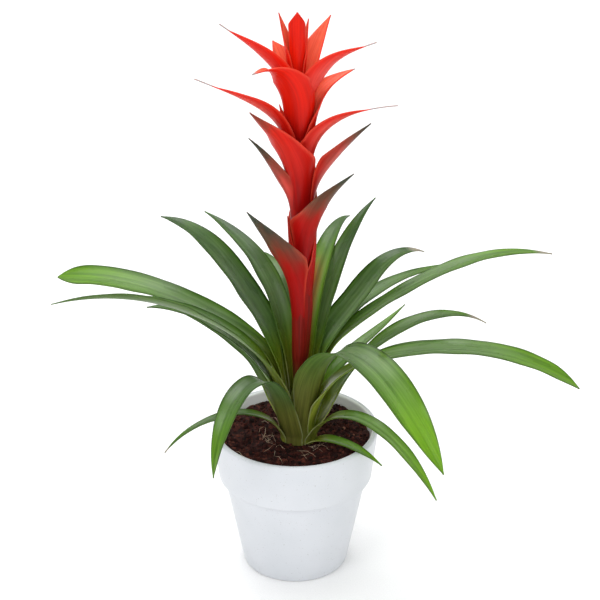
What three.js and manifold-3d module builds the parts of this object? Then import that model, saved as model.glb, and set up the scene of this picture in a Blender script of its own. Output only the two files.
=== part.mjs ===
// A potted guzmania: a round glazed pot filled with soil, a short rootstock that carries a rosette of
// arching strap leaves, and one upright flower spike clothed in pointed bracts.
// Millimetres, +Z up. The origin is the centre of the pot's flat foot. The front of the plant faces -Y.
import * as THREE from "three";
import { mergeVertices } from "three/addons/utils/BufferGeometryUtils.js";
import Module from "manifold-3d";

const wasm = await Module();
wasm.setup();

// Driving dimensions.
const clearance = 0.3; // between pieces that rest on each other
const pot = {
  height: 129.5,
  rimRadius: 70, // outside, at the top of the rim band
  bandHeight: 45,
  bandRadius: 65.4, // outside, at the foot of the rim band
  bodyRadius: 61, // outside, where the body goes up under the band
  footRadius: 44.5, // outside, were the side to run straight down to the base
  footRound: 2.5,
  lipRadius: 2.6,
  bandRound: 1.4, // of the band's lower edge
  wall: 5.5,
  floor: 6,
  cove: 4, // height of the rounding between floor and wall, inside
  sides: 48,
};
const soil = {
  level: 120.5, // 9 mm under the rim
  crumb: 1.5, // height of the lumps
  dip: 2.4, // how far it is lower around the stem
  sink: 0.4, // and at the wall
  levelRadius: 18, // it is flat up to here around the stem
  lumpRadius: 32, // and fully lumpy from here
  rings: 6,
  sides: 30,
  holeRadius: 14.9,
  holeFloor: 96,
  holeSides: 32,
};
const stem = {
  x: 3, // the plant stands a little right of the pot's centre
  foot: 118, // height where its taper starts
  footRadius: 14.5,
  topRadius: 6,
  top: 164,
  socketRadius: 4,
  socketDepth: 12,
  sides: 24,
};
const leafShape = {
  neck: 40, // between the places where its lean is given
  sheathLength: 56, // the part that clasps the stem, at most
  sheathShare: 0.4, // and at most this share of the leaf
  sheathSpread: 0.62, // the sheath's half width as a share of the leaf's width
  wrap: 46, // degrees to each side of its middle that a sheath clasps
  opens: [0.25, 1.3], // from and to these shares of its sheath's length it opens from sheath to blade
  neckEnd: 2.2, // sheath lengths after which a narrow neck has widened out
  channel: 24, // half the angle of the hollow face of a blade
  layer: 3.05, // how much lower than a leaf the next one that overlaps it grows
  step: 0.5, // how much lower at least
  topGap: 3, // from the stem's top to the first leaf's foot
  seat: 0.3, // more room between a sheath and the stem
  sheathThick: 0.8,
  bladeThick: 1.0,
  marginThick: 0.6,
  tipHalf: 0.7,
  taper: 1.8,
  stations: 17,
  strips: 4,
};

// Leaves from the innermost out. Azimuth is in degrees, 0 to the right and 90 to the back. Lean is in
// degrees from upright: at the foot, one and two necks up, midway from there to the tip, and at the tip.
// Full is the share of the length after which the leaf narrows to its tip, and neck how wide it is above
// its sheath. A higher taper gives a rounder tip, channel is half the angle that the hollow face turns
// through, and roll turns the blade about its own length, at its tip and, as rollFoot, above its sheath.
const leaves = [
  { azimuth: 134, lean: [3, 12, 27, 63, 84], length: 188, width: 21, full: 0.5 },
  { azimuth: 65, lean: [4, 11, 24, 55, 112], length: 181, width: 19, full: 0.55 },
  { azimuth: 49, lean: [5, 16, 25, 39, 68], length: 184, width: 21, full: 0.45 },
  { azimuth: 113, lean: [6, 15, 28, 84, 132], length: 172, width: 18, full: 0.5 },
  { azimuth: 150, lean: [7, 16, 35, 49, 92], length: 206, width: 28, full: 0.55, taper: 2.4 },
  { azimuth: 28, lean: [6, 16, 45, 48, 118], length: 181, width: 29, full: 0.55 },
  { azimuth: 12, lean: [6, 19, 50, 70, 104], length: 269, width: 18, full: 0.6, taper: 2.4 },
  { azimuth: 40, lean: [7, 21, 55, 86, 100], length: 212, width: 16, full: 0.5 },
  { azimuth: 163, lean: [3, 21, 59, 79, 103], length: 256, width: 25, full: 0.8, taper: 4.5, neck: 0.6,
    roll: -18 },
  { azimuth: 203, lean: [12, 20, 41, 65, 93], length: 267, width: 28, full: 0.6, taper: 1.3, channel: 38,
    neck: 0.75, rollFoot: -10, roll: 36 },
  { azimuth: 84, lean: [7, 21, 61, 108, 145], length: 215, width: 28, full: 0.5 },
  { azimuth: 186, lean: [12, 25, 42, 58, 94], length: 171, width: 22, full: 0.5, roll: -15 },
  { azimuth: -58, lean: [8, 14, 43, 119, 152], length: 246, width: 34, full: 0.6, taper: 2.4, sway: 28 },
  { azimuth: -10, lean: [6, 33, 63, 91, 125], length: 265, width: 26, full: 0.8, taper: 2.8, neck: 0.6 },
  { azimuth: 100, lean: [9, 26, 62, 104, 140], length: 190, width: 26, full: 0.5 },
  { azimuth: 47, lean: [16, 50, 74, 76, 70], length: 146, width: 13, full: 0.4 },
  { azimuth: 150, lean: [18, 36, 57, 76, 88], length: 165, width: 22, full: 0.5, neck: 0.5 },
  { azimuth: 14, lean: [31, 30, 48, 79, 126], length: 195, width: 20, full: 0.5, neck: 0.5 },
  { azimuth: 236, lean: [15, 23, 56, 135, 175], length: 190, width: 20, full: 0.6 },
  { azimuth: -35, lean: [20, 62, 108, 131, 146], length: 157, width: 15, full: 0.6 },
  { azimuth: 200, lean: [18, 59, 92, 114, 140], length: 124, width: 10, full: 0.4 },
  { azimuth: -40, lean: [49, 75, 87, 99, 112], length: 77, width: 11, full: 0.4 },
];

// Bracts from the top of the flower spike down. Height is that of the foot on the stalk, wrap is how many
// degrees it clasps the stalk to each side, and thread is the share of the length where a bract has run
// out to a thin thread. Sway is how far the tip has bent sideways, from share swayFrom of the length on.
// The rest is as for the leaves.
const bracts = [
  { azimuth: 272, height: 428, lean: [1, 2, 3, 3, 4], length: 68, width: 15, full: 0.84 },
  { azimuth: 158, height: 425, lean: [2, 5, 9, 12, 14], length: 67, width: 20, full: 0.5 },
  { azimuth: 25, height: 425, lean: [2, 3, 4, 5, 6], length: 62, width: 16, full: 0.5 },
  { azimuth: 42, height: 402, lean: [3, 8, 18, 30, 37], length: 88, width: 38, full: 0.42, wrap: 110 },
  { azimuth: 194, height: 400, lean: [4, 12, 37, 50, 52], length: 110, width: 32, full: 0.4,
    wrap: 66, roll: 28, thread: 0.92 },
  { azimuth: 130, height: 396, lean: [4, 9, 16, 32, 48], length: 73, width: 30, full: 0.72 },
  { azimuth: -14, height: 391, lean: [6, 10, 30, 58, 68], length: 108, width: 36, full: 0.42,
    wrap: 62, roll: -28, thread: 0.91 },
  { azimuth: 258, height: 381, lean: [9, 10, 9, 38, 106], length: 93, width: 44, full: 0.5,
    wrap: 104, sway: -27, swayFrom: 0.4 },
  { azimuth: 30, height: 366, lean: [6, 10, 16, 60, 76], length: 94, width: 38, full: 0.4, wrap: 96 },
  { azimuth: 88, height: 368, lean: [5, 9, 20, 44, 66], length: 92, width: 32, full: 0.3 },
  { azimuth: 192, height: 365, lean: [5, 22, 52, 62, 64], length: 118, width: 30, full: 0.4,
    wrap: 64, roll: 24, thread: 0.85 },
  { azimuth: 150, height: 348, lean: [5, 8, 10, 12, 14], length: 68, width: 24, full: 0.4 },
  { azimuth: -14, height: 345, lean: [4, 10, 45, 69, 81], length: 120, width: 36, full: 0.35,
    wrap: 72, roll: -22, thread: 0.8 },
  { azimuth: 226, height: 320, lean: [4, 8, 25, 42, 42], length: 122, width: 50, full: 0.42,
    wrap: 118, roll: 6 },
  { azimuth: 95, height: 322, lean: [5, 10, 22, 44, 62], length: 96, width: 32, full: 0.3 },
  { azimuth: 14, height: 307, lean: [4, 8, 35, 45, 50], length: 108, width: 50, full: 0.45,
    wrap: 40, roll: -32 },
  { azimuth: 190, height: 302, lean: [3, 5, 26, 31, 42], length: 100, width: 32, full: 0.35,
    wrap: 62, roll: 30 },
  { azimuth: 80, height: 280, lean: [5, 10, 20, 40, 56], length: 96, width: 32, full: 0.3 },
  { azimuth: -40, height: 274, lean: [3, 8, 26, 39, 44], length: 113, width: 46, full: 0.42, wrap: 90 },
  { azimuth: 188, height: 252, lean: [4, 4, 4, 3, 2], length: 72, width: 24, full: 0.4 },
  { azimuth: 0, height: 250, lean: [5, 5, 4, 2, 0], length: 62, width: 26, full: 0.4 },
  { azimuth: 220, height: 222, lean: [3, 8, 27, 34, 35], length: 133, width: 54, full: 0.42,
    wrap: 64, roll: 8 },
];

// The stalk's middle line and radius, from its foot in the rootstock to its top.
const stalk = [
  { x: 3, height: 152.3, radius: 3.7 },
  { x: 3, height: 166, radius: 3.7 },
  { x: 3.3, height: 178, radius: 5 },
  { x: 4.4, height: 200, radius: 7 },
  { x: 6, height: 240, radius: 8.6 },
  { x: 5.6, height: 290, radius: 8.4 },
  { x: 4, height: 350, radius: 8 },
  { x: 2.2, height: 410, radius: 7 },
  { x: 1, height: 455, radius: 5 },
  { x: 1, height: 474, radius: 2.4 },
];
const bractShape = {
  wrap: 88,
  rollOver: [0.15, 0.6], // shares of the length over which a bract takes up its roll
  thick: 1.1,
  marginThick: 0.6,
  tipHalf: 0.5,
  footShare: 0.6, // width of the foot as a share of the full width
  fullFrom: 0.3, // share of the length where it has its full width
  footChannel: 62, // half the angle of the hollow face above the clasping foot
  tipChannel: 40,
  taper: 1.1,
  threadTaper: 1.15,
  stations: 8,
  strips: 4,
};
const steepest = 1.1; // radians, the most that a clasping section turns or a foot's lean counts for
const stalkSides = 14;

const radians = THREE.MathUtils.degToRad;
const lerp = THREE.MathUtils.lerp;
const smoothstep = THREE.MathUtils.smoothstep;

// A closed manifold-3d solid of a closed three.js geometry.
function solidOf(geometry) {
  const bare = new THREE.BufferGeometry();
  bare.setAttribute("position", geometry.getAttribute("position"));
  bare.setIndex(geometry.getIndex());
  const merged = mergeVertices(bare, 1e-4);
  return new wasm.Manifold(
    new wasm.Mesh({
      numProp: 3,
      vertProperties: merged.attributes.position.array,
      triVerts: new Uint32Array(merged.index.array),
    }),
  );
}

// The three.js geometry of a manifold-3d solid.
function geometryOf(solid) {
  const mesh = solid.getMesh();
  const geometry = new THREE.BufferGeometry();
  geometry.setAttribute("position", new THREE.BufferAttribute(mesh.vertProperties, 3));
  geometry.setIndex(new THREE.BufferAttribute(mesh.triVerts, 1));
  geometry.computeVertexNormals();
  return geometry;
}

// A lathe turned about +Z from a profile of [radius, height] points.
function turned(profile, sides) {
  const points = profile.map(([radius, height]) => new THREE.Vector2(radius, height));
  return new THREE.LatheGeometry(points, sides).rotateX(Math.PI / 2);
}

// Lean at a distance along a leaf, read smoothly through the five leans of its record.
function leanAt({ lean, length }, distance) {
  const neck = Math.min(leafShape.neck, length / 4);
  const knots = [0, neck, 2 * neck, neck + length / 2, length];
  let i = 0;
  while (i < 3 && distance > knots[i + 1]) i++;
  const slope = (j) => {
    const a = Math.max(j - 1, 0);
    const b = Math.min(j + 1, 4);
    return (lean[b] - lean[a]) / (knots[b] - knots[a]);
  };
  const span = knots[i + 1] - knots[i];
  const f = (distance - knots[i]) / span;
  const start = lean[i] * (1 + 2 * f) * (1 - f) ** 2 + lean[i + 1] * f * f * (3 - 2 * f);
  return start + span * (slope(i) * f * (1 - f) ** 2 - slope(i + 1) * f * f * (1 - f));
}

// The middle line of a blade: its points, and its direction and width direction at each.
function middleLine(leaf, foot, stations) {
  const { azimuth, length, sway = 0, swayFrom = 0 } = leaf;
  const out = new THREE.Vector3(Math.cos(radians(azimuth)), Math.sin(radians(azimuth)), 0);
  const side = new THREE.Vector3(-out.y, out.x, 0);
  const up = new THREE.Vector3(0, 0, 1);
  const fine = 8; // steps of the sum between two stations
  // sideways for each mm of length
  const aside = (t) => (2 * sway * Math.max(t - swayFrom, 0)) / (1 - swayFrom) ** 2 / length;
  const line = [];
  const point = foot.clone();
  for (let i = 0; i <= stations; i++) {
    const t = i / stations;
    const angle = radians(leanAt(leaf, t * length));
    const ahead = out.clone().multiplyScalar(Math.sin(angle)).addScaledVector(up, Math.cos(angle));
    ahead.addScaledVector(side, aside(t)).normalize();
    const across = side.clone().addScaledVector(ahead, -side.dot(ahead)).normalize();
    line.push({ t, point: point.clone(), ahead, across, angle });
    for (let j = 0; j < fine && i < stations; j++) {
      const later = (i + (j + 0.5) / fine) / stations;
      const bend = radians(leanAt(leaf, later * length));
      const step = length / stations / fine;
      point.addScaledVector(out, Math.sin(bend) * step);
      point.addScaledVector(up, Math.cos(bend) * step);
      point.addScaledVector(side, aside(later) * step);
    }
  }
  return line;
}

// A closed blade. Each station of its middle line carries a thin bowed section of strips + 1 points on
// each face, and both faces are split into triangles alike.
function blade(line, strips, sectionAt) {
  const corners = [];
  const columns = strips + 1;
  for (const place of line) {
    const { halfWidth, halfAngle, thick, margin, roll } = sectionAt(place);
    const across = place.across.clone().applyAxisAngle(place.ahead, roll);
    const inward = place.ahead.clone().cross(across);
    const bow = halfWidth / halfAngle;
    for (const face of [1, -1]) {
      for (let k = 0; k < columns; k++) {
        const u = (2 * k) / strips - 1;
        const turn = halfAngle * u;
        const half = 0.5 * lerp(thick, margin, u * u) * face;
        const normal = inward.clone().multiplyScalar(Math.cos(turn));
        normal.addScaledVector(across, -Math.sin(turn));
        const corner = place.point.clone().addScaledVector(across, bow * Math.sin(turn));
        corner.addScaledVector(inward, bow * (1 - Math.cos(turn))).addScaledVector(normal, half);
        corners.push(corner.x, corner.y, corner.z);
      }
    }
  }
  const index = [];
  const at = (i, face, k) => (i * 2 + face) * columns + k;
  const quad = (a, b, c, d) => index.push(a, b, c, a, c, d);
  const last = line.length - 1;
  for (let i = 0; i < last; i++) {
    for (let k = 0; k < strips; k++) {
      quad(at(i, 0, k), at(i + 1, 0, k), at(i + 1, 0, k + 1), at(i, 0, k + 1));
      index.push(at(i, 1, k), at(i + 1, 1, k + 1), at(i + 1, 1, k));
      index.push(at(i, 1, k), at(i, 1, k + 1), at(i + 1, 1, k + 1));
    }
    quad(at(i, 1, 0), at(i + 1, 1, 0), at(i + 1, 0, 0), at(i, 0, 0));
    quad(at(i, 0, strips), at(i + 1, 0, strips), at(i + 1, 1, strips), at(i, 1, strips));
  }
  for (let k = 0; k < strips; k++) {
    quad(at(0, 0, k), at(0, 0, k + 1), at(0, 1, k + 1), at(0, 1, k));
    quad(at(last, 0, k + 1), at(last, 0, k), at(last, 1, k), at(last, 1, k + 1));
  }
  const geometry = new THREE.BufferGeometry();
  geometry.setAttribute("position", new THREE.Float32BufferAttribute(corners, 3));
  geometry.setIndex(index);
  return geometry;
}

// The share of its full width that a blade keeps at share t of its length, with a slim point for a low
// power and a round one for a high power.
function taperAt(t, full, power) {
  return t < full ? 1 : 1 - ((t - full) / (1 - full)) ** power;
}

// The rootstock's radius at a height.
function stemRadius(height) {
  const share = (height - stem.foot) / (stem.top - stem.foot);
  return lerp(stem.footRadius, stem.topRadius, THREE.MathUtils.clamp(share, 0, 1));
}

// The smallest angle between two azimuths.
function between(a, b) {
  return Math.abs(((a - b + 540) % 360) - 180);
}

// The heights of the leaves' feet on the rootstock, from the top down: each one sits just under the one
// before it, and a full layer under every leaf whose sheath it overlaps.
function footHeights() {
  const heights = [];
  leaves.forEach((leaf, i) => {
    let height = i ? heights[i - 1] - leafShape.step : stem.top - leafShape.topGap;
    leaves.slice(0, i).forEach((inner, j) => {
      if (between(leaf.azimuth, inner.azimuth) < 2 * leafShape.wrap) {
        height = Math.min(height, heights[j] - leafShape.layer);
      }
    });
    heights.push(height);
  });
  return heights;
}

function leafGeometry(leaf, footHeight) {
  const azimuth = radians(leaf.azimuth);
  const footRadius = stemRadius(footHeight) + clearance + leafShape.sheathThick / 2 + leafShape.seat;
  const foot = new THREE.Vector3(
    stem.x + footRadius * Math.cos(azimuth),
    footRadius * Math.sin(azimuth),
    footHeight,
  );
  const line = middleLine(leaf, foot, leafShape.stations);
  const channel = radians(leaf.channel ?? leafShape.channel);
  const power = leaf.taper ?? leafShape.taper;
  const sheathLength = Math.min(leafShape.sheathLength, leaf.length * leafShape.sheathShare);
  const [opensFrom, opensTo] = leafShape.opens.map((share) => share * sheathLength);
  return blade(line, leafShape.strips, (place) => {
    const s = place.t * leaf.length;
    const away = Math.hypot(place.point.x - stem.x, place.point.y);
    const radius = away / Math.cos(Math.min(place.angle, steepest));
    const free = smoothstep(s, opensFrom, opensTo);
    const clasp = radius * radians(leafShape.wrap);
    const neck = lerp(leaf.neck ?? 1, 1, smoothstep(s, sheathLength, leafShape.neckEnd * sheathLength));
    const bladeHalf = 0.5 * leaf.width * neck * taperAt(place.t, leaf.full, power);
    const sheathHalf = Math.min(clasp, leaf.width * leafShape.sheathSpread);
    const halfWidth = Math.max(lerp(sheathHalf, bladeHalf, free), leafShape.tipHalf);
    const rollHere = lerp(leaf.rollFoot ?? 0, leaf.roll ?? 0, smoothstep(s, sheathLength, leaf.length));
    return {
      halfWidth,
      halfAngle: Math.max(Math.min(halfWidth / radius, steepest), channel),
      thick: lerp(leafShape.sheathThick, leafShape.bladeThick, free),
      margin: leafShape.marginThick,
      roll: radians(rollHere) * smoothstep(s, opensTo / 2, opensTo),
    };
  });
}

// The stalk's middle and radius at a height.
function stalkAt(height) {
  let i = 0;
  while (i < stalk.length - 2 && height > stalk[i + 1].height) i++;
  const low = stalk[i];
  const high = stalk[i + 1];
  const f = THREE.MathUtils.clamp((height - low.height) / (high.height - low.height), 0, 1);
  return { x: lerp(low.x, high.x, f), radius: lerp(low.radius, high.radius, f) };
}

function bractGeometry(bract) {
  const azimuth = radians(bract.azimuth);
  const { x, radius: stalkRadius } = stalkAt(bract.height);
  const footRadius = stalkRadius - bractShape.thick;
  const foot = new THREE.Vector3(
    x + footRadius * Math.cos(azimuth),
    footRadius * Math.sin(azimuth),
    bract.height,
  );
  const line = middleLine(bract, foot, bractShape.stations);
  const wrap = radians(bract.wrap ?? bractShape.wrap);
  const narrowing = (t) => {
    if (!bract.thread) return taperAt(t, bract.full, bractShape.taper);
    const share = THREE.MathUtils.clamp((t - bract.full) / (bract.thread - bract.full), 0, 1);
    return 1 - share ** bractShape.threadTaper;
  };
  return blade(line, bractShape.strips, (place) => {
    const away = Math.hypot(place.point.x - stalkAt(place.point.z).x, place.point.y);
    const radius = away / Math.cos(Math.min(place.angle, steepest));
    const widens = lerp(bractShape.footShare, 1, smoothstep(place.t, 0, bractShape.fullFrom));
    const half = Math.min(0.5 * bract.width * widens, radius * wrap) * narrowing(place.t);
    const halfWidth = Math.max(half, bractShape.tipHalf);
    const channel = radians(lerp(bractShape.footChannel, bractShape.tipChannel, place.t));
    return {
      halfWidth,
      halfAngle: Math.max(Math.min(halfWidth / radius, wrap), channel),
      thick: bractShape.thick,
      margin: bractShape.marginThick,
      roll: radians(bract.roll ?? 0) * smoothstep(place.t, ...bractShape.rollOver),
    };
  });
}

// The stalk, as rings of points about its middle line.
function stalkGeometry(sides) {
  const corners = [];
  const index = [];
  stalk.forEach(({ x, height, radius }) => {
    for (let k = 0; k < sides; k++) {
      const turn = (2 * Math.PI * k) / sides;
      corners.push(x + radius * Math.cos(turn), radius * Math.sin(turn), height);
    }
  });
  const top = corners.length / 3 + 1;
  const last = stalk.at(-1);
  corners.push(stalk[0].x, 0, stalk[0].height, last.x, 0, last.height + last.radius);
  for (let k = 0; k < sides; k++) {
    const next = (k + 1) % sides;
    for (let i = 0; i < stalk.length - 1; i++) {
      const low = i * sides;
      const high = low + sides;
      index.push(low + k, low + next, high + next, low + k, high + next, high + k);
    }
    const rim = (stalk.length - 1) * sides;
    index.push(top - 1, next, k, top, rim + k, rim + next);
  }
  const geometry = new THREE.BufferGeometry();
  geometry.setAttribute("position", new THREE.Float32BufferAttribute(corners, 3));
  geometry.setIndex(index);
  return geometry;
}

// The flower spike: every bract's foot is sunk in the stalk. Of the joined pieces only the outer body
// is kept, which fills the small sealed hollows between clasping bracts.
function spikeGeometry() {
  const pieces = [stalkGeometry(stalkSides), ...bracts.map(bractGeometry)];
  const bodies = wasm.Manifold.union(pieces.map(solidOf)).decompose();
  bodies.sort((a, b) => b.volume() - a.volume());
  return geometryOf(bodies[0]);
}

// The foot of the pot's inner wall, above the cove.
const innerFoot = { radius: pot.footRadius - pot.wall + 2, height: pot.floor + pot.cove };

// The pot: a conical body under a wider rim band, with a round lip and a flat foot.
function potGeometry() {
  const { height, rimRadius, bandHeight, bandRadius, bandRound, bodyRadius } = pot;
  const { footRadius, footRound, lipRadius } = pot;
  const bandFoot = height - bandHeight;
  const slope = Math.atan2(bodyRadius - footRadius, bandFoot);
  const profile = [[0, 0], [footRadius - footRound, 0]];
  for (const turn of [25, 50, 75]) {
    const angle = radians(turn);
    const rise = footRound * (1 - Math.cos(angle));
    profile.push([footRadius - footRound * (1 - Math.sin(angle)) + rise * Math.tan(slope), rise]);
  }
  const half = bandRound * (1 - Math.SQRT1_2);
  profile.push([bodyRadius, bandFoot], [bandRadius - bandRound, bandFoot]);
  profile.push([bandRadius - half, bandFoot + half], [bandRadius, bandFoot + bandRound]);
  const lip = rimRadius - lipRadius;
  for (const turn of [0, 45, 90, 135, 180]) {
    const angle = radians(turn);
    profile.push([lip + lipRadius * Math.cos(angle), height - lipRadius + lipRadius * Math.sin(angle)]);
  }
  profile.push([innerFoot.radius, innerFoot.height], [innerFoot.radius - pot.cove, pot.floor]);
  profile.push([0, pot.floor]);
  return turned(profile, pot.sides);
}

// The pot's inner radius at a height.
function innerRadius(height) {
  const top = { radius: pot.rimRadius - 2 * pot.lipRadius, height: pot.height - pot.lipRadius };
  return lerp(innerFoot.radius, top.radius, (height - innerFoot.height) / (top.height - innerFoot.height));
}

// The soil: it fills the pot, with a lumpy top and a plain hole for the rootstock.
function soilGeometry() {
  const corners = [0, 0, pot.floor + clearance];
  const index = [];
  const { rings, sides, level, crumb, dip, sink } = soil;
  const small = (x, y) => Math.sin(0.31 * x + 0.9) * Math.cos(0.27 * y);
  const large = (x, y) => Math.sin(0.13 * x - 0.22 * y);
  const lump = (x, y) => 0.5 * crumb * (small(x, y) + large(x, y));
  const ring = (radius, heightAt) => {
    for (let k = 0; k < sides; k++) {
      const turn = (2 * Math.PI * k) / sides;
      const x = radius * Math.cos(turn);
      const y = radius * Math.sin(turn);
      corners.push(x, y, heightAt(x, y));
    }
  };
  const join = (a, b) => {
    for (let k = 0; k < sides; k++) {
      const next = (k + 1) % sides;
      index.push(a + k, a + next, b + next, a + k, b + next, b + k);
    }
  };
  const slack = 2 * clearance; // round soil stays clear of the pot's many flat sides
  ring(innerFoot.radius - pot.cove - slack, () => pot.floor + clearance);
  ring(innerFoot.radius - slack, () => innerFoot.height);
  ring(innerRadius(level) - slack, (x, y) => level + lump(x, y) - 2 * sink);
  for (let i = rings - 1; i > 0; i--) {
    const radius = (innerRadius(level) * i) / rings;
    ring(radius, (x, y) => {
      const lumpy = smoothstep(Math.hypot(x - stem.x, y), soil.levelRadius, soil.lumpRadius);
      return level - dip + lumpy * (dip + sink + lump(x, y));
    });
  }
  corners.push(0, 0, level - dip);
  const topPoint = corners.length / 3 - 1;
  for (let k = 0; k < sides; k++) {
    const next = (k + 1) % sides;
    index.push(0, 1 + next, 1 + k);
    const last = 1 + (rings + 1) * sides;
    index.push(last + k, last + next, topPoint);
  }
  for (let i = 0; i <= rings; i++) join(1 + i * sides, 1 + (i + 1) * sides);
  const geometry = new THREE.BufferGeometry();
  geometry.setAttribute("position", new THREE.Float32BufferAttribute(corners, 3));
  geometry.setIndex(index);
  const depth = 2 * (level - soil.holeFloor); // runs out of the soil's top
  const hole = new THREE.CylinderGeometry(soil.holeRadius, soil.holeRadius, depth, soil.holeSides);
  hole.rotateX(Math.PI / 2).translate(stem.x, 0, soil.holeFloor + depth / 2);
  return geometryOf(solidOf(geometry).subtract(solidOf(hole)));
}

// The rootstock: a short cone on a plain root end, with a socket for the stalk.
function stemGeometry() {
  const profile = [
    [0, soil.holeFloor + clearance],
    [stem.footRadius, soil.holeFloor + clearance],
    [stem.footRadius, stem.foot],
    [stem.topRadius, stem.top],
    [stem.socketRadius, stem.top],
    [stem.socketRadius, stem.top - stem.socketDepth],
    [0, stem.top - stem.socketDepth],
  ];
  return turned(profile, stem.sides).translate(stem.x, 0, 0);
}

const paint = (color, roughness) => new THREE.MeshStandardMaterial({ color, roughness, metalness: 0 });

const plant = new THREE.Group();
function add(name, geometry, material) {
  const mesh = new THREE.Mesh(geometry, material);
  mesh.name = name;
  plant.add(mesh);
}
add("pot", potGeometry(), paint(0xe6e9ed, 0.2));
add("soil", soilGeometry(), paint(0x3a2420, 0.95));
add("rootstock", stemGeometry(), paint(0x6f8a3c, 0.6));
const leafGreen = paint(0x4f7a33, 0.45);
const heights = footHeights();
leaves.forEach((leaf, i) => {
  add(`leaf_${String(i + 1).padStart(2, "0")}`, leafGeometry(leaf, heights[i]), leafGreen);
});
add("flower_spike", spikeGeometry(), paint(0xd22a1c, 0.45));

export default plant;
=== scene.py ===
# A potted guzmania in a studio: strap leaves, a red flower spike, dark soil and a white glazed pot.
import random
from math import atan2, cos, exp, hypot, pi, radians, sin, sqrt

import bmesh
import bpy
from mathutils import Euler, Matrix, Vector, noise


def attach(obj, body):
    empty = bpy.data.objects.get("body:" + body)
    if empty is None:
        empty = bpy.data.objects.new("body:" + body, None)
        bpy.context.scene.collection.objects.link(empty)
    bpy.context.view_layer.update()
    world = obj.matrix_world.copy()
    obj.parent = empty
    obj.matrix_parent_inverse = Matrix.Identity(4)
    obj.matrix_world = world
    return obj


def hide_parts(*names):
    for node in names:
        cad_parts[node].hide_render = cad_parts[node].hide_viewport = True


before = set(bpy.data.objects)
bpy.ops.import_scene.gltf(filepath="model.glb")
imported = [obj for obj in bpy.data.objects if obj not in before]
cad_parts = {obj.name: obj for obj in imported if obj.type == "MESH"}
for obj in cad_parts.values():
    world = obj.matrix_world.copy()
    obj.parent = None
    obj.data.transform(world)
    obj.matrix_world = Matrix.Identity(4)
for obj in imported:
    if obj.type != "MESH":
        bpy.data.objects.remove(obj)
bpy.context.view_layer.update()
mm = 0.001
dice = random.Random(11)

# Camera, fitted to the rim, the foot and the sides of the pot.
cameraView = {"place": (0.004, -1.425, 0.959), "lookDown": 26.52, "lens": 116.64, "sensor": 36.0}
cameraData = bpy.data.cameras.new("studioCamera")
cameraData.lens = cameraView["lens"]
cameraData.sensor_width = cameraView["sensor"]
camera = bpy.data.objects.new("studioCamera", cameraData)
camera.location = cameraView["place"]
camera.rotation_euler = (radians(90 - cameraView["lookDown"]), 0, 0)
bpy.context.collection.objects.link(camera)
bpy.context.scene.camera = camera
print("camera ready")


# Small helpers for numbers, colours, nodes and meshes.
def lerp(a, b, f):
    return a + (b - a) * f


def smoothstep(x, low, high):
    f = min(max((x - low) / (high - low), 0.0), 1.0)
    return f * f * (3 - 2 * f)


def linearColour(hexColour):
    channels = [int(hexColour[i:i + 2], 16) / 255 for i in (1, 3, 5)]
    return tuple(c / 12.92 if c <= 0.04045 else ((c + 0.055) / 1.055) ** 2.4 for c in channels) + (1.0,)


# settings that many nodes share; a Mix of colours takes them at 6 and 7 and gives the result at output 2
colourMix = {"data_type": "RGBA"}
smoothRange = {"interpolation_type": "SMOOTHSTEP"}


def addNode(tree, kind, settings=None, inputs=None):
    # settings are the node's own, inputs are its sockets: each takes a value or another node's output
    node = tree.nodes.new("ShaderNode" + kind)
    for key, value in (settings or {}).items():
        if key == "stops":
            ramp = node.color_ramp.elements
            while len(ramp) < len(value):
                ramp.new(0.5)
            for stop, (place, colour) in zip(ramp, value):
                stop.position = place
                stop.color = linearColour(colour)
        else:
            setattr(node, key, value)
    for key, value in (inputs or {}).items():
        # a pair of sockets takes a pair of values
        for socket, given in zip(key, value) if isinstance(key, tuple) else [(key, value)]:
            if isinstance(given, bpy.types.NodeSocket):
                tree.links.new(given, node.inputs[socket])
            else:
                node.inputs[socket].default_value = linearColour(given) if isinstance(given, str) else given
    return node


def startMaterial(name, finish):
    material = bpy.data.materials.new(name)
    material.use_nodes = True
    tree = material.node_tree
    tree.nodes.clear()
    output = addNode(tree, "OutputMaterial")
    shader = addNode(tree, "BsdfPrincipled", None, finish)
    tree.links.new(shader.outputs["BSDF"], output.inputs["Surface"])
    return material, tree, shader


def drawnOut(tree, place, stretch, detail, scale=1.0):
    # noise that runs along a piece, as veins and fibres do
    along = addNode(tree, "VectorMath", {"operation": "MULTIPLY"}, {0: place, 1: stretch})
    return addNode(tree, "TexNoise", None,
                   {"Vector": along.outputs[0], "Scale": scale, "Detail": detail}).outputs["Fac"]


def byHeight(tree, place, reach, stops):
    # colours that change up a piece, between two heights in metres
    height = addNode(tree, "SeparateXYZ", None, {"Vector": place}).outputs["Z"]
    share = addNode(tree, "MapRange", None, {0: height, (1, 2): reach}).outputs[0]
    return addNode(tree, "ValToRGB", {"stops": stops}, {"Fac": share}).outputs["Color"]


def darkenBy(tree, body, pattern, dark, tone, share=1.0):
    # a pattern multiplies the body colour, by the dark tone at its low end and by white at its high end
    shade = addNode(tree, "ValToRGB", {"stops": [(tone[0], dark), (tone[1], "#FFFFFF")]},
                    {"Fac": pattern}).outputs["Color"]
    return addNode(tree, "Mix", {**colourMix, "blend_type": "MULTIPLY"},
                   {0: share, 6: body, 7: shade}).outputs[2]


def layOver(tree, under, over, along, reach, start=0.0, end=1.0, easing="SMOOTHSTEP"):
    # one colour is laid over another, and its share goes from start to end over the reach
    share = addNode(tree, "MapRange", {"interpolation_type": easing},
                    {0: along, (1, 2): reach, (3, 4): (start, end)}).outputs[0]
    return addNode(tree, "Mix", colourMix, {0: share, 6: under, 7: over}).outputs[2]


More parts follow.
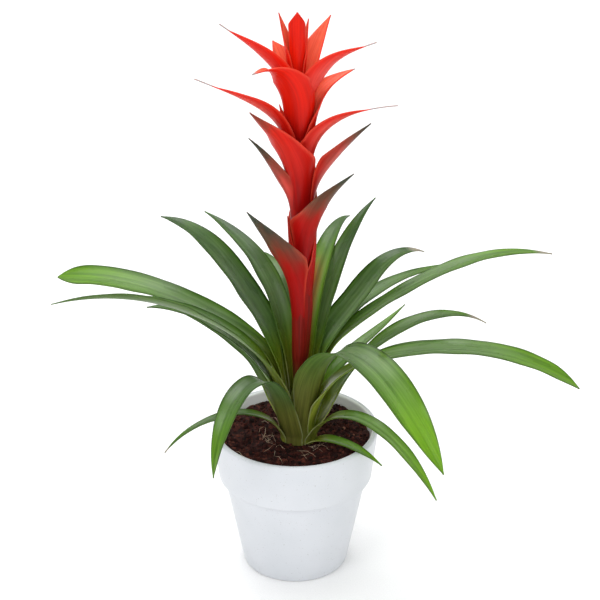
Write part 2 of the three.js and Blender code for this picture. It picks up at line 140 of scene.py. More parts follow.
def closeMaterial(tree, shader, colour, roughness, height, relief):
    # colour, roughness and relief go to the shader; the relief has a strength and a depth in metres
    tree.links.new(colour, shader.inputs["Base Color"])
    tree.links.new(roughness, shader.inputs["Roughness"])
    bump = addNode(tree, "Bump", None, {("Strength", "Distance"): relief, "Height": height})
    tree.links.new(bump.outputs["Normal"], shader.inputs["Normal"])


def finishPiece(name, bm, materials, nodes, smooth=True):
    # an object at the origin, which rides on the part and stands for its nodes
    mesh = bpy.data.meshes.new(name)
    bm.to_mesh(mesh)
    bm.free()
    for polygon in mesh.polygons:
        polygon.use_smooth = smooth
    for material in materials:
        mesh.materials.append(material)
    piece = bpy.data.objects.new(name, mesh)
    bpy.context.collection.objects.link(piece)
    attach(piece, "root")
    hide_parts(*nodes)
    return piece


def joinTo(whole, part, name):
    # a small mesh becomes one more loose part of a piece
    mesh = bpy.data.meshes.new(name)
    part.to_mesh(mesh)
    part.free()
    whole.from_mesh(mesh)
    bpy.data.meshes.remove(mesh)


# Studio: seamless white paper, a bright room and five soft boxes.
studio = {
    "paperSize": 6.0,
    "paper": "#F7F7F8",
    "room": "#FFFFFF",
    "roomStrength": 0.56,
    "softBoxes": [
        # name, place, aimed at, size, watts
        ("overheadBox", (-0.25, 0.35, 1.9), (0, 0, 0.25), 1.3, 22.0),
        ("keyBox", (-1.1, -1.3, 1.5), (0, 0, 0.25), 0.9, 10.0),
        ("frontBox", (0.15, -1.6, 1.3), (0, 0, 0.15), 0.8, 8.0),
        ("fillBox", (1.5, -1.0, 0.9), (0, 0, 0.2), 1.1, 5.0),
        ("paperBox", (0, 2.1, 2.2), (0, 2.3, 0), 2.4, 26.0),
    ],
}


def buildStudio():
    scene = bpy.context.scene
    scene.view_settings.view_transform = "Standard"
    world = bpy.data.worlds.new("brightRoom")
    world.use_nodes = True
    background = world.node_tree.nodes["Background"]
    background.inputs["Color"].default_value = linearColour(studio["room"])
    background.inputs["Strength"].default_value = studio["roomStrength"]
    scene.world = world

    bm = bmesh.new()
    bmesh.ops.create_grid(bm, x_segments=2, y_segments=2, size=studio["paperSize"] / 2)
    mesh = bpy.data.meshes.new("paperFloor")
    bm.to_mesh(mesh)
    bm.free()
    # seamless paper: matt and even, it gives a clean pale ground
    paper, tree, shader = startMaterial("seamlessPaper", {"Roughness": 0.9, "Specular IOR Level": 0.2})
    place = addNode(tree, "TexCoord").outputs["Object"]
    fibre = addNode(tree, "TexNoise", None, {"Vector": place, "Scale": 900.0})
    tone = addNode(tree, "ValToRGB", {"stops": [(0.3, studio["paper"]), (0.7, "#FFFFFF")]},
                   {"Fac": fibre.outputs["Fac"]})
    tree.links.new(tone.outputs["Color"], shader.inputs["Base Color"])
    mesh.materials.append(paper)
    floor = bpy.data.objects.new("paperFloor", mesh)
    bpy.context.collection.objects.link(floor)

    for name, place, target, size, watts in studio["softBoxes"]:
        light = bpy.data.lights.new(name, "AREA")
        light.shape = "SQUARE"
        light.size = size
        light.energy = watts
        box = bpy.data.objects.new(name, light)
        box.location = place
        box.rotation_euler = (Vector(target) - Vector(place)).to_track_quat("-Z", "Y").to_euler()
        bpy.context.collection.objects.link(box)


buildStudio()
print("studio ready")


# Blades: leaves and bracts are made alike, along a middle line that leans away from upright.
# Lengths are in millimetres and the steepest turn in radians. Each blade's number shifts its pattern.
bladeSteps = {
    "fineSteps": 4, "stations": 96, "columns": 18, "steepest": 1.1, "neckMost": 40, "patternShift": 7.3,
}


def leanAt(blade, distance):
    # the blade's five leans, in degrees, are eased from knot to knot
    lean = blade["lean"]
    length = blade["length"]
    neck = min(bladeSteps["neckMost"], length / 4)
    knots = [0, neck, 2 * neck, neck + length / 2, length]
    i = 0
    while i < 3 and distance > knots[i + 1]:
        i += 1

    def slope(j):
        a = max(j - 1, 0)
        b = min(j + 1, 4)
        return (lean[b] - lean[a]) / (knots[b] - knots[a])

    span = knots[i + 1] - knots[i]
    f = (distance - knots[i]) / span
    start = lean[i] * (1 + 2 * f) * (1 - f) ** 2 + lean[i + 1] * f * f * (3 - 2 * f)
    return start + span * (slope(i) * f * (1 - f) ** 2 - slope(i + 1) * f * f * (1 - f))


def middleLine(blade, foot, stations):
    azimuth = radians(blade["azimuth"])
    length = blade["length"]
    sway = blade.get("sway", 0)
    swayFrom = blade.get("swayFrom", 0)

    def aside(t):
        return 2 * sway * max(t - swayFrom, 0) / (1 - swayFrom) ** 2 / length

    out = Vector((cos(azimuth), sin(azimuth), 0))
    side = Vector((-out.y, out.x, 0))
    up = Vector((0, 0, 1))
    fine = bladeSteps["fineSteps"]
    step = length / stations / fine
    point = foot.copy()
    line = []
    for i in range(stations + 1):
        t = i / stations
        angle = radians(leanAt(blade, t * length))
        ahead = out * sin(angle) + up * cos(angle) + side * aside(t)
        ahead.normalize()
        across = (side - ahead * side.dot(ahead)).normalized()
        line.append({"t": t, "point": point.copy(), "ahead": ahead, "across": across, "angle": angle})
        for j in range(fine if i < stations else 0):
            later = (i + (j + 0.5) / fine) / stations
            bend = radians(leanAt(blade, later * length))
            point += out * (sin(bend) * step) + up * (cos(bend) * step)
            point += side * (aside(later) * step)
    return line


def taperAt(t, full, power):
    return 1.0 if t < full else 1 - ((t - full) / (1 - full)) ** power


def bladePiece(name, blade, line, sectionAt, thickness, materials, nodes, number):
    # a grid is bent to the middle line and its bowed sections, then given its thickness
    columns = blade.get("columns", bladeSteps["columns"])
    stations = len(line) - 1
    bm = bmesh.new()
    place = bm.verts.layers.float_vector.new("bladePlace")  # mm across, mm along, shift
    share = bm.verts.layers.float_vector.new("bladeShare")  # -1 to 1 across, 0 to 1 along, fresh
    dryTip = bm.verts.layers.float.new("dryTip")
    paleKeel = bm.verts.layers.float.new("paleKeel")
    spikeFlush = bm.verts.layers.float.new("spikeFlush")
    bmesh.ops.create_grid(bm, x_segments=columns, y_segments=stations, size=1)
    for vert in bm.verts:
        u = sin(vert.co.x * pi / 2)  # closer columns towards the margins
        spot = line[round((vert.co.y + 1) / 2 * stations)]
        section = sectionAt(spot)
        across = spot["across"].copy()
        if section["roll"]:
            across.rotate(Matrix.Rotation(section["roll"], 3, spot["ahead"]))
        inward = spot["ahead"].cross(across)
        bow = section["halfWidth"] / section["halfAngle"]
        turn = section["halfAngle"] * u
        normal = inward * cos(turn) - across * sin(turn)
        point = spot["point"] + across * (bow * sin(turn)) + inward * (bow * (1 - cos(turn)))
        point += normal * section["waveAt"](u)
        vert.co = point * mm
        shift = number * bladeSteps["patternShift"]
        vert[place] = (section["halfWidth"] * u, spot["t"] * blade["length"], shift)
        vert[share] = (u, spot["t"], section["fresh"])
        vert[dryTip] = blade.get("dry", 0)
        vert[paleKeel] = blade.get("pale", 0)
        vert[spikeFlush] = blade.get("flush", 0)
    piece = finishPiece(name, bm, materials, nodes)
    wall = piece.modifiers.new("thickness", "SOLIDIFY")
    wall.thickness = thickness * mm
    wall.offset = 0
    wall.material_offset = len(materials) - 1
    return piece


# What every blade has in common. Veins, streaks and clouds have their stretch across and along it per
# millimetre, and a zone runs over shares of its length or, where it lies across, of its half width.
bladeLook = {
    "veins": (0.9, 0.016, 1.0), "veinTone": (0.3, 0.62), "streaks": (0.3, 0.008, 1.0),
    "streakTone": (0.36, 0.6), "clouds": (0.09, 0.035, 1.0), "satin": (0.3, 0.7), "relief": (0.35, 0.00015),
    "marginAlong": (0.1, 0.35), "marginTo": 0.98, "dryReach": 0.14, "dryAlong": (0.985, 1.03),
}


# Cuticle of a bromeliad leaf or bract: satin wax over coloured tissue, with fine lines along its length.
# It gives the eye long soft highlights, and a little light comes through the thin blade.
def bladeMaterial(name, colourNodes, look):
    material, tree, shader = startMaterial(name, {
        "Subsurface Weight": look["glow"], "Subsurface Scale": 0.0015,
        "Subsurface Radius": look["glowReach"], "IOR": 1.42, "Specular IOR Level": look["shine"],
        "Coat Weight": look["wax"], "Coat Roughness": 0.3,
    })
    place = addNode(tree, "Attribute", {"attribute_name": "bladePlace"}).outputs["Vector"]
    share = addNode(tree, "Attribute", {"attribute_name": "bladeShare"}).outputs["Vector"]
    dry = addNode(tree, "Attribute", {"attribute_name": "dryTip"}).outputs["Fac"]
    axes = addNode(tree, "SeparateXYZ", None, {"Vector": share}).outputs
    sideways = addNode(tree, "Math", {"operation": "ABSOLUTE"}, {0: axes["X"]}).outputs[0]
    # veins about 1.1 mm apart: the real ones are finer, these still show in the render
    veins = drawnOut(tree, place, look["veins"], 3.0)
    # broad streaks, 3 to 4 mm wide, run most of its length
    streaks = drawnOut(tree, place, look["streaks"], 2.0)
    clouds = drawnOut(tree, place, look["clouds"], 2.0)
    body, margin = colourNodes(tree, look, axes, sideways, clouds)
    colour = darkenBy(tree, body, veins, look["veinDark"], look["veinTone"])
    colour = darkenBy(tree, colour, streaks, look["streakDark"], look["streakTone"])
    # a band along the margins is painted: painted shade on a leaf, where its channel curves away from the
    # light, and a painted highlight on a bract
    offFoot = addNode(tree, "MapRange", None,
                      {0: axes["Y"], (1, 2): look["marginAlong"], 4: look["marginShare"]}).outputs[0]
    marginReach = (look["marginFrom"], look["marginTo"])
    colour = layOver(tree, colour, margin, sideways, marginReach, end=offFoot)
    if look.get("papery"):
        # the clasping margins of a sheath are thin, pale and dry
        onMargin = addNode(tree, "MapRange", None,
                           {0: sideways, (1, 2): look["paperyAcross"], 4: look["paperyShare"]}).outputs[0]
        colour = layOver(tree, colour, look["papery"], axes["Y"], look["paperyAlong"], onMargin, 0.0,
                         "LINEAR")
    tipPlace = addNode(tree, "Math", {"operation": "MULTIPLY_ADD"},
                       {0: dry, 1: look["dryReach"], 2: axes["Y"]}).outputs[0]
    colour = layOver(tree, colour, look["tip"], tipPlace, look["dryAlong"])
    satin = addNode(tree, "MapRange", None,
                    {0: clouds, (1, 2): look["satin"], (3, 4): look["roughness"]}).outputs[0]
    closeMaterial(tree, shader, colour, satin, veins, look["relief"])
    return material


leafLook = {
    **bladeLook, "shine": 0.3, "glow": 0.25, "glowReach": (0.5, 1.0, 0.2), "tip": "#8A8272",
    "papery": "#A9AE84", "paperyShare": 0.5, "paperyAcross": (0.9, 0.97), "paperyAlong": (0.06, 0.2),
    # the grey sheen along the middle of each arch is a painted highlight
    "patchy": (0.5, -0.25), "bloom": "#A8B2A6", "bloomRises": (0.18, 0.42), "bloomFades": (0.6, 0.9),
    "bloomAcross": (0.5, 1.0), "sheathAlong": (0.08, 0.36), "sheathShare": 0.9,
    "brown": "#463220", "brownClouds": (0.44, 0.62), "brownShare": 0.35,
    "flush": "#A8481A", "flushAlong": (0.52, 0.7), "flushAcross": (-0.85, 0.1),
}


def leafColour(tree, look, axes, sideways, clouds):
    # dark green, lighter where a leaf droops: painted light for the light the drooping blade catches and lets
    # through, over its own paler green at the neck
    patchy = addNode(tree, "Math", {"operation": "MULTIPLY_ADD"},
                     {0: clouds, (1, 2): look["patchy"]}).outputs[0]
    freshness = addNode(tree, "Math", {"operation": "ADD", "use_clamp": True},
                        {0: axes["Z"], 1: patchy}).outputs[0]
    blade = addNode(tree, "Mix", colourMix,
                    {0: freshness, (6, 7): (look["dark"], look["fresh"])}).outputs[2]
    # a thin grey painted sheen lies along the middle of each arch, a painted highlight where the arch faces
    # the light
    upArch = addNode(tree, "MapRange", smoothRange,
                     {0: axes["Y"], (1, 2): look["bloomRises"], 4: look["bloomShare"]}).outputs[0]
    overArch = addNode(tree, "MapRange", smoothRange,
                       {0: axes["Y"], (1, 2): look["bloomFades"], (3, 4): (upArch, 0.0)}).outputs[0]
    blade = layOver(tree, blade, look["bloom"], sideways, look["bloomAcross"], overArch, 0.0)
    # olive or yellow-green at its clasping foot, with brown patches
    sheath = addNode(tree, "Mix", colourMix,
                     {0: freshness, (6, 7): (look["darkSheath"], look["freshSheath"])}).outputs[2]
    sheath = layOver(tree, sheath, look["brown"], clouds, look["brownClouds"], 0.0, look["brownShare"],
                     "LINEAR")
    body = layOver(tree, blade, sheath, axes["Y"], look["sheathAlong"], look["sheathShare"], 0.0)
    # the leaf nearest the spike has a red flush low on the side that faces the stalk
    flush = addNode(tree, "Attribute", {"attribute_name": "spikeFlush"}).outputs["Fac"]
    lowBlade = addNode(tree, "MapRange", smoothRange,
                       {0: axes["Y"], (1, 2): look["flushAlong"], (3, 4): (flush, 0.0)}).outputs[0]
    body = layOver(tree, body, look["flush"], axes["X"], look["flushAcross"], end=lowBlade)
    # the dark margin colour is a painted shade along the leaf's edges
    return body, look["margin"]


bractLook = {
    **bladeLook, "glow": 0.3, "glowReach": (1.4, 0.35, 0.15), "wax": 0.05, "tip": "#A0908E",
    "veinDark": "#EEE2DE", "streakDark": "#F0DEDA", "marginFrom": 0.82, "footAlong": (0.05, 0.5),
    "footShare": 0.8, "keelAcross": (0.3, 0.95), "keelAlong": (0.25, 0.55),
    # heights on the spike in metres, and how far the end of a bract has turned
    "upSpike": (0.28, 0.47), "greenReach": 0.62, "cloudReach": 0.35, "turns": (1.06, 1.4),
    "darkens": (1.3, 1.6),
}


def bractColour(tree, look, axes, sideways, clouds):
    # deep red low on the spike and orange-red on top
    place = addNode(tree, "TexCoord").outputs["Object"]
    height = addNode(tree, "SeparateXYZ", None, {"Vector": place}).outputs["Z"]
    body = layOver(tree, look["low"], look["high"], height, look["upSpike"])
    body = layOver(tree, body, look["foot"], axes["Y"], look["footAlong"], look["footShare"], 0.0)
    # a salmon highlight is painted along the keel of a bract that leans far out, for the light the pale
    # ground bounces onto it
    keelHighlightShare = addNode(tree, "Attribute", {"attribute_name": "paleKeel"}).outputs["Fac"]
    onKeel = addNode(tree, "MapRange", smoothRange,
                     {0: sideways, (1, 2): look["keelAcross"], (3, 4): (keelHighlightShare, 0.0)}).outputs[0]
    body = layOver(tree, body, look["keel"], axes["Y"], look["keelAlong"], end=onKeel)
    # olive and slate green where a lower bract ends
    green = addNode(tree, "Math", {"operation": "MULTIPLY_ADD"},
                    {0: axes["Z"], 1: look["greenReach"], 2: axes["Y"]}).outputs[0]
    reach = addNode(tree, "Math", {"operation": "MULTIPLY_ADD"},
                    {0: clouds, 1: look["cloudReach"], 2: green}).outputs[0]
    turned = layOver(tree, look["olive"], look["dark"], reach, look["darkens"])
    # the painted highlight along a bract's margins turns olive at the end with the rest of it
    return [layOver(tree, red, turned, reach, look["turns"]) for red in (body, look["margin"])]


leafUpper = bladeMaterial("waxyLeafUpperFace", leafColour, {
    **leafLook, "roughness": (0.24, 0.34), "wax": 0.15, "veinDark": "#E2E7D8", "streakDark": "#CDD8BE",
    "margin": "#1A300E", "marginShare": 0.6, "marginFrom": 0.82, "dark": "#2A4C16", "fresh": "#6E9E10",
    "bloomShare": 0.16, "darkSheath": "#78782C", "freshSheath": "#A8B038",
})
leafUnder = bladeMaterial("waxyLeafUnderside", leafColour, {
    **leafLook, "roughness": (0.4, 0.52), "wax": 0.05, "veinDark": "#CFD7C2", "streakDark": "#CCD4C0",
    "margin": "#243C16", "marginShare": 0.5, "marginFrom": 0.84, "dark": "#486430", "fresh": "#7EA624",
    "bloomShare": 0.08, "darkSheath": "#747032", "freshSheath": "#A4AC40",
})
bractOuter = bladeMaterial("satinBractOuterFace", bractColour, {
    **bractLook, "roughness": (0.4, 0.5), "shine": 0.16, "margin": "#E0543E", "marginShare": 0.45,
    "low": "#AE0A0A", "high": "#E01C04", "foot": "#920A0A", "keel": "#E25A50", "olive": "#6E4634",
    "dark": "#3E4638",
})
bractInner = bladeMaterial("satinBractInnerFace", bractColour, {
    **bractLook, "roughness": (0.42, 0.54), "shine": 0.25, "margin": "#F09A88", "marginShare": 0.5,
    "low": "#E43A34", "high": "#F06C4E", "foot": "#CE302A", "keel": "#EA6458", "olive": "#8A7850",
    "dark": "#66704A",
})
print("blade materials ready")


# Each blade has a row: its azimuth, its lean from upright at five places, its length, its width and the share
# of its length from which it tapers, in degrees and millimetres. Neck narrows it above its sheath, channel
# bows it, roll turns it about its length and sway bends it sideways.
def row(azimuth, lean, length, width, full, **more):
    return {"azimuth": azimuth, "lean": lean, "length": length, "width": width, "full": full, **more}


# The rosette. Fresh is how light a leaf's green is at the foot, the middle and the tip: its own paler green
# at the neck, and painted light where a leaf droops into the light and lets it through. Dry is how much of
# its tip has dried, and flush how red it is. Those three, the ripple and the crease belong to this script
# alone, and all the other values are the solids' own.
stem = {
    "x": 3, "foot": 118, "footRadius": 14.5, "topRadius": 6, "top": 164, "socketRadius": 4, "socketDepth": 12,
}
leafShape = {
    "sheathLength": 56, "sheathShare": 0.4, "sheathSpread": 0.62, "wrap": 46, "opens": (0.25, 1.3),
    "neckEnd": 2.2, "channel": 24, "layer": 3.05, "step": 0.5, "topGap": 3, "seat": 0.3, "clearance": 0.3,
    "sheathThick": 0.8, "thick": 0.9, "tipHalf": 0.5, "taper": 1.8,
    "ripple": 0.4, "rippleLength": 46, "rippleRise": 2.5, "farRipple": -0.6, "finer": (0.5, 3.3),
    "crease": 0.5, "creaseWidth": 0.14, "freshFrom": (0.1, 0.5), "freshTo": (0.5, 0.9),
    "rootedUnder": 143, "rootedTo": 117.6, "rootSteps": 6, "rootSlope": 0.1, "rootGap": 0.1,
}
leaves = [
    row(134, (3, 12, 27, 63, 84), 188, 21, 0.5, fresh=(0.5, 0.2, 0.1)),
    row(65, (4, 11, 24, 55, 112), 181, 19, 0.55, fresh=(0.6, 0.9, 0.1), flush=0.85),
    row(49, (5, 16, 25, 39, 68), 184, 21, 0.45, fresh=(0.6, 0.35, 0.05)),
    row(113, (6, 15, 28, 84, 132), 172, 18, 0.5, fresh=(0.5, 0.3, 0.3)),
    row(150, (7, 16, 35, 49, 92), 206, 28, 0.55, taper=2.4, fresh=(0.9, 0.15, 0.1)),
    row(28, (6, 16, 45, 48, 118), 181, 29, 0.55, fresh=(1.0, 0.3, 0.15), dry=0.6),
    row(12, (6, 19, 50, 70, 104), 269, 18, 0.6, taper=2.4, fresh=(0.9, 0.3, 0.6), dry=0.4),
    row(40, (7, 21, 55, 86, 100), 212, 16, 0.5, fresh=(0.9, 0.35, 0.35)),
    row(163, (3, 21, 59, 79, 103), 256, 25, 0.8, taper=4.5, neck=0.6, roll=-18, fresh=(0.6, 0.3, 0.7)),
    row(203, (12, 20, 41, 65, 93), 267, 28, 0.6, taper=1.3, channel=38, neck=0.75, rollFoot=-10, roll=36,
        fresh=(0.5, 0.25, 0.2)),
    row(84, (7, 21, 61, 108, 145), 215, 28, 0.5, fresh=(0.5, 0.2, 0.4)),
    row(186, (12, 25, 42, 58, 94), 171, 22, 0.5, roll=-15, fresh=(0.5, 0.3, 0.2)),
    row(-58, (8, 14, 43, 119, 152), 246, 34, 0.6, taper=2.4, sway=28, fresh=(0.1, 0.35, 1.1)),
    row(-10, (6, 33, 63, 91, 125), 265, 26, 0.8, taper=2.8, neck=0.6, fresh=(1.0, 0.35, 0.7)),
    row(100, (9, 26, 62, 104, 140), 190, 26, 0.5, fresh=(0.5, 0.2, 0.5)),
    row(47, (16, 50, 74, 76, 70), 146, 13, 0.4, fresh=(0.9, 0.6, 0.6)),
    row(150, (18, 36, 57, 76, 88), 165, 22, 0.5, neck=0.5, fresh=(1.0, 0.5, 0.3)),
    row(14, (31, 30, 48, 79, 126), 195, 20, 0.5, neck=0.5, fresh=(1.0, 0.5, 0.4), dry=0.7),
    row(236, (15, 23, 56, 135, 175), 190, 20, 0.6, fresh=(-0.1, 0.1, 0.7)),
    row(-35, (20, 62, 108, 131, 146), 157, 15, 0.6, fresh=(0.4, 0.8, 1.4)),
    row(200, (18, 59, 92, 114, 140), 124, 10, 0.4, fresh=(0.5, 0.3, 0.3), dry=0.4),
    row(-40, (49, 75, 87, 99, 112), 77, 11, 0.4, fresh=(0.8, 1.0, 1.3)),
]


def stemRadius(height):
    share = (height - stem["foot"]) / (stem["top"] - stem["foot"])
    return lerp(stem["footRadius"], stem["topRadius"], min(max(share, 0), 1))


def footHeights():
    heights = []
    for i, leaf in enumerate(leaves):
        height = heights[-1] - leafShape["step"] if i else stem["top"] - leafShape["topGap"]
        for inner, innerHeight in zip(leaves, heights):
            apart = abs((leaf["azimuth"] - inner["azimuth"] + 540) % 360 - 180)
            if apart < 2 * leafShape["wrap"]:
                height = min(height, innerHeight - leafShape["layer"])
        heights.append(height)
    return heights


def buildLeaf(number, leaf, footHeight):
    azimuth = radians(leaf["azimuth"])
    footRadius = stemRadius(footHeight) + leafShape["clearance"] + leafShape["sheathThick"] / 2
    footRadius += leafShape["seat"]
    foot = Vector((stem["x"] + footRadius * cos(azimuth), footRadius * sin(azimuth), footHeight))
    line = middleLine(leaf, foot, bladeSteps["stations"])
    if footHeight < leafShape["rootedUnder"]:
        # an outer sheath goes on down the stem into the soil
        out = Vector((cos(azimuth), sin(azimuth), 0))
        upright = dict(line[0], ahead=Vector((0, 0, 1)), across=Vector((-out.y, out.x, 0)), angle=0)
        rooted = []
        for i in range(leafShape["rootSteps"]):
            height = lerp(leafShape["rootedTo"], footHeight, i / leafShape["rootSteps"])
            drop = footHeight - height
            gap = footRadius - stemRadius(footHeight) - leafShape["rootSlope"] * drop
            reach = stemRadius(height) + max(gap, leafShape["rootGap"])
            point = Vector((stem["x"], 0, height)) + out * reach
            rooted.append(dict(upright, t=-drop / leaf["length"], point=point))
        line = rooted + line
    sheathLength = min(leafShape["sheathLength"], leaf["length"] * leafShape["sheathShare"])
    opensFrom, opensTo = (share * sheathLength for share in leafShape["opens"])
    channel = radians(leaf.get("channel", leafShape["channel"]))
    power = leaf.get("taper", leafShape["taper"])
    phase = dice.uniform(0, 2 * pi)

    def sectionAt(spot):
        t = spot["t"]
        s = t * leaf["length"]
        away = hypot(spot["point"].x - stem["x"], spot["point"].y)
        radius = away / cos(min(spot["angle"], bladeSteps["steepest"]))
        free = smoothstep(s, opensFrom, opensTo)
        neck = lerp(leaf.get("neck", 1), 1, smoothstep(s, sheathLength, leafShape["neckEnd"] * sheathLength))
        bladeHalf = 0.5 * leaf["width"] * neck * taperAt(t, leaf["full"], power)
        sheathHalf = min(radius * radians(leafShape["wrap"]), leaf["width"] * leafShape["sheathSpread"])
        halfWidth = max(lerp(sheathHalf, bladeHalf, free), leafShape["tipHalf"])
        rolled = smoothstep(s, sheathLength, leaf["length"])
        roll = radians(lerp(leaf.get("rollFoot", 0), leaf.get("roll", 0), rolled))
        # a leaf's green lightens from foot to tip as its row gives: partly its own colour, partly painted
        # light where it droops
        footFresh, middleFresh, tipFresh = leaf["fresh"]
        fresh = lerp(footFresh, middleFresh, smoothstep(t, *leafShape["freshFrom"]))
        fresh = lerp(fresh, tipFresh, smoothstep(t, *leafShape["freshTo"]))
        share, rate = leafShape["finer"]
        swing = sin(2 * pi * s / leafShape["rippleLength"] + phase)
        swing += share * sin(rate * pi * s / leafShape["rippleLength"] + 2 * phase)
        broad = halfWidth / (0.5 * leaf["width"])

        def waveAt(u):
            # margins rise and fall a little, and a fine crease runs down the middle
            ripple = leafShape["ripple"] * abs(u) ** leafShape["rippleRise"] * swing
            ripple *= 1 if u > 0 else leafShape["farRipple"]
            crease = leafShape["crease"] * exp(-(u / leafShape["creaseWidth"]) ** 2)
            return free * broad * (ripple - crease)

        return {
            "halfWidth": halfWidth,
            "halfAngle": max(min(halfWidth / radius, bladeSteps["steepest"]), channel),
            "roll": roll * smoothstep(s, opensTo / 2, opensTo),
            "fresh": fresh,
            "waveAt": waveAt,
        }

    bladePiece(f"leafBlade_{number:02d}", leaf, line, sectionAt, leafShape["thick"], [leafUnder, leafUpper],
               [f"leaf_{number:02d}"], number)


for number, (leaf, footHeight) in enumerate(zip(leaves, footHeights()), 1):
    buildLeaf(number, leaf, footHeight)
print("rosette ready")


# The flower spike. Wrap is how far a bract clasps the stalk, green how much of its end has turned green and
# brown, dry how much of its tip has dried, thread where it ends in a dry thread, and pale how much salmon
# highlight is painted along its keel, for the light that the pale ground bounces onto it.
stalk = [
    # middle x, height, radius
    (3, 152.3, 3.7), (3, 166, 3.7), (3.3, 178, 5), (4.4, 200, 7), (6, 240, 8.6), (5.6, 290, 8.4), (4, 350, 8),
    (2.2, 410, 7), (1, 455, 5), (1, 474, 2.4),
]
bractShape = {
    "wrap": 88, "rollOver": (0.15, 0.6), "thick": 1.0, "inset": 1.1, "tipHalf": 0.4, "footShare": 0.6,
    "fullFrom": 0.3, "footChannel": 62, "tipChannel": 40, "taper": 1.1, "threadTaper": 1.15,
    "ripple": 0.5, "rippleLength": 34, "rippleOver": (0.25, 0.6), "farRipple": -0.7,
    "columns": 20, "stations": 60,
    "patternFrom": 40,  # no bract shares its pattern with a leaf
}
bracts = [
    row(272, (1, 2, 3, 3, 4), 68, 15, 0.84, height=428),
    row(158, (2, 5, 9, 12, 14), 67, 20, 0.5, height=425),
    row(25, (2, 3, 4, 5, 6), 62, 16, 0.5, height=425),
    row(42, (3, 8, 18, 30, 37), 88, 38, 0.42, height=402, wrap=110),
    row(194, (4, 12, 37, 50, 52), 110, 32, 0.4, height=400, wrap=66, roll=28, dry=0.7, thread=0.92,
        pale=0.3),
    row(130, (4, 9, 16, 32, 48), 73, 30, 0.72, height=396),
    row(-14, (6, 10, 30, 58, 68), 108, 36, 0.42, height=391, wrap=62, roll=-28, dry=0.7, thread=0.91,
        pale=0.6),
    row(258, (9, 10, 9, 38, 106), 93, 44, 0.5, height=381, wrap=104, sway=-27, swayFrom=0.4, dry=0.2),
    row(30, (6, 10, 16, 60, 76), 94, 38, 0.4, height=366, wrap=96, dry=0.2),
    row(88, (5, 9, 20, 44, 66), 92, 32, 0.3, height=368, dry=0.4),
    row(192, (5, 22, 52, 62, 64), 118, 30, 0.4, height=365, wrap=64, roll=24, dry=1, thread=0.85, pale=0.9),
    row(150, (5, 8, 10, 12, 14), 68, 24, 0.4, height=348),
    row(-14, (4, 10, 45, 69, 81), 120, 36, 0.35, height=345, wrap=72, roll=-22, dry=1.4, thread=0.8,
        pale=0.9),
    row(226, (4, 8, 25, 42, 42), 122, 50, 0.42, height=320, wrap=118, roll=6, green=0.28, pale=0.1),
    row(95, (5, 10, 22, 44, 62), 96, 32, 0.3, height=322, green=0.4),
    row(14, (4, 8, 35, 45, 50), 108, 50, 0.45, height=307, wrap=40, roll=-32, green=0.58, pale=0.8),
    row(190, (3, 5, 26, 31, 42), 100, 32, 0.35, height=302, wrap=62, roll=30, green=0.75, pale=0.8),
    row(80, (5, 10, 20, 40, 56), 96, 32, 0.3, height=280, green=0.8),
    row(-40, (3, 8, 26, 39, 44), 113, 46, 0.42, height=274, wrap=90, green=0.82),
    row(188, (4, 4, 4, 3, 2), 72, 24, 0.4, height=252, green=0.1, pale=0.4),
    row(0, (5, 5, 4, 2, 0), 62, 26, 0.4, height=250, green=0.2),
    row(220, (3, 8, 27, 34, 35), 133, 54, 0.42, height=222, wrap=64, roll=8, green=0.8),
]


def stalkAt(height):
    i = 0
    while i < len(stalk) - 2 and height > stalk[i + 1][1]:
        i += 1
    (lowX, low, lowRadius), (highX, high, highRadius) = stalk[i], stalk[i + 1]
    f = min(max((height - low) / (high - low), 0), 1)
    return lerp(lowX, highX, f), lerp(lowRadius, highRadius, f)


def buildBract(number, bract):
    azimuth = radians(bract["azimuth"])
    middle, stalkRadius = stalkAt(bract["height"])
    footRadius = stalkRadius - bractShape["inset"]
    foot = Vector((middle + footRadius * cos(azimuth), footRadius * sin(azimuth), bract["height"]))
    line = middleLine(bract, foot, bractShape["stations"])
    phase = dice.uniform(0, 2 * pi)

    def sectionAt(spot):
        t = spot["t"]
        s = t * bract["length"]
        away = hypot(spot["point"].x - stalkAt(spot["point"].z)[0], spot["point"].y)
        radius = away / cos(min(spot["angle"], bladeSteps["steepest"]))
        widens = lerp(bractShape["footShare"], 1, smoothstep(t, 0, bractShape["fullFrom"]))
        narrows = taperAt(t, bract["full"], bractShape["taper"])
        if bract.get("thread"):
            share = min(max(t - bract["full"], 0) / (bract["thread"] - bract["full"]), 1)
            narrows = 1 - share ** bractShape["threadTaper"]
        wrap = radians(bract.get("wrap", bractShape["wrap"]))
        halfWidth = max(min(0.5 * bract["width"] * widens, radius * wrap) * narrows, bractShape["tipHalf"])
        channel = radians(lerp(bractShape["footChannel"], bractShape["tipChannel"], t))
        swing = sin(2 * pi * s / bractShape["rippleLength"] + phase)
        free = smoothstep(t, *bractShape["rippleOver"]) * narrows

        def waveAt(u):
            ripple = free * bractShape["ripple"] * abs(u) ** 2 * swing
            return ripple * (1 if u > 0 else bractShape["farRipple"])

        return {
            "halfWidth": halfWidth,
            "halfAngle": max(min(halfWidth / radius, wrap), channel),
            "roll": radians(bract.get("roll", 0)) * smoothstep(t, *bractShape["rollOver"]),
            "fresh": bract.get("green", 0),
            "waveAt": waveAt,
        }

    bladePiece(f"bract_{number:02d}", {**bract, "columns": bractShape["columns"]}, line, sectionAt,
               bractShape["thick"], [bractOuter, bractInner], ["flower_spike"],
               number + bractShape["patternFrom"])


for number, bract in enumerate(bracts, 1):
    buildBract(number, bract)
print("bracts ready")


